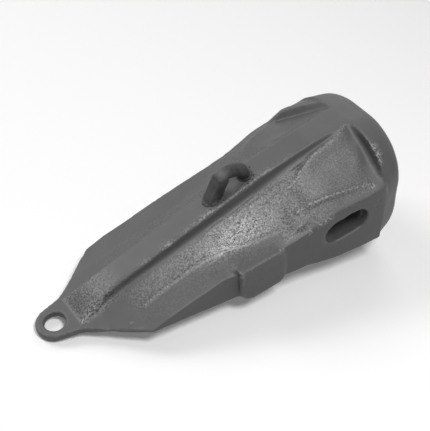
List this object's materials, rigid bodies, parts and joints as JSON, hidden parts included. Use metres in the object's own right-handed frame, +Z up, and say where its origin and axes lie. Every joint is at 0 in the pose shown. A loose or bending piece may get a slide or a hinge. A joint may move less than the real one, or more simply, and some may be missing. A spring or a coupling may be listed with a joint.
{
  "type": "bucket tooth tip",
  "caption": "Cast steel bucket tooth tip with a holed front ear, a raised rib, a round rear collar, a socket, a pin slot and a welded lifting eye.",
  "frame": {"origin": "on the ground, under the middle of the box around the whole part, as it lies", "axes": "+X from the front ear towards the rear collar, +Y towards the side wall with no boss, +Z up"},
  "size_m": [0.6213, 0.24, 0.2416],
  "materials": {
    "casting": "satin",
    "eye_bar": "matt"
  },
  "bodies": {
    "root": {"tooth_body": "casting", "lifting_eye": "eye_bar"}
  },
  "joints": []
}
